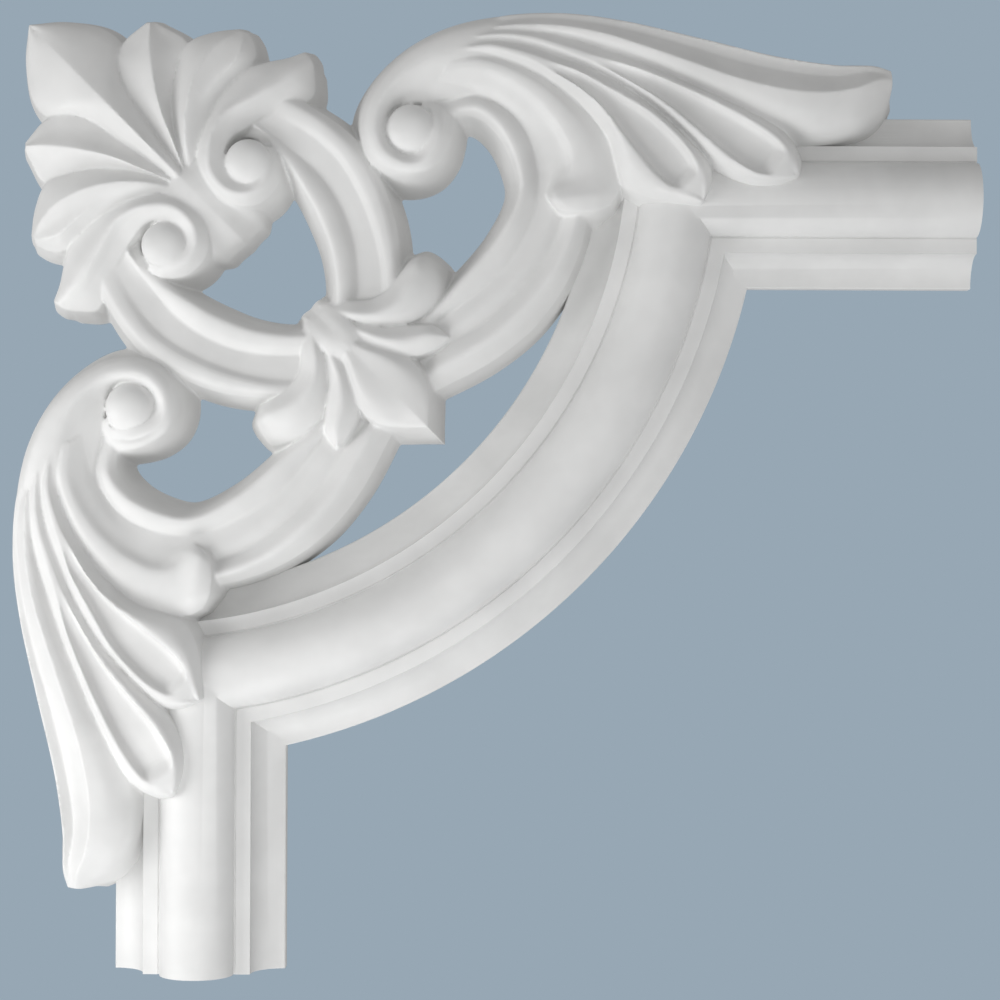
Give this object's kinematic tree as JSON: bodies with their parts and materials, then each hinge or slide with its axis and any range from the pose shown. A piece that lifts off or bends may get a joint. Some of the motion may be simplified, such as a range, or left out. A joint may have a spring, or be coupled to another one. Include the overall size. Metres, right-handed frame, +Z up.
{
  "type": "moulding corner",
  "caption": "Wall moulding corner: a curved inward corner of torus-and-cove moulding joined to an openwork acanthus scroll with palmettes.",
  "frame": {"origin": "on the wall plane, at the set-out corner where the outer edges of the two straight mouldings would cross", "axes": "+Y into the wall, so the carved front looks along -Y; +X along the level moulding and -Z down the upright one, +Z up"},
  "size_m": [0.3388, 0.034, 0.3388],
  "materials": {
    "primed_foam": "white primer on hard polyurethane foam, smooth, with a low satin sheen"
  },
  "bodies": {
    "root": {"moulding_corner": "primed_foam"}
  },
  "joints": []
}
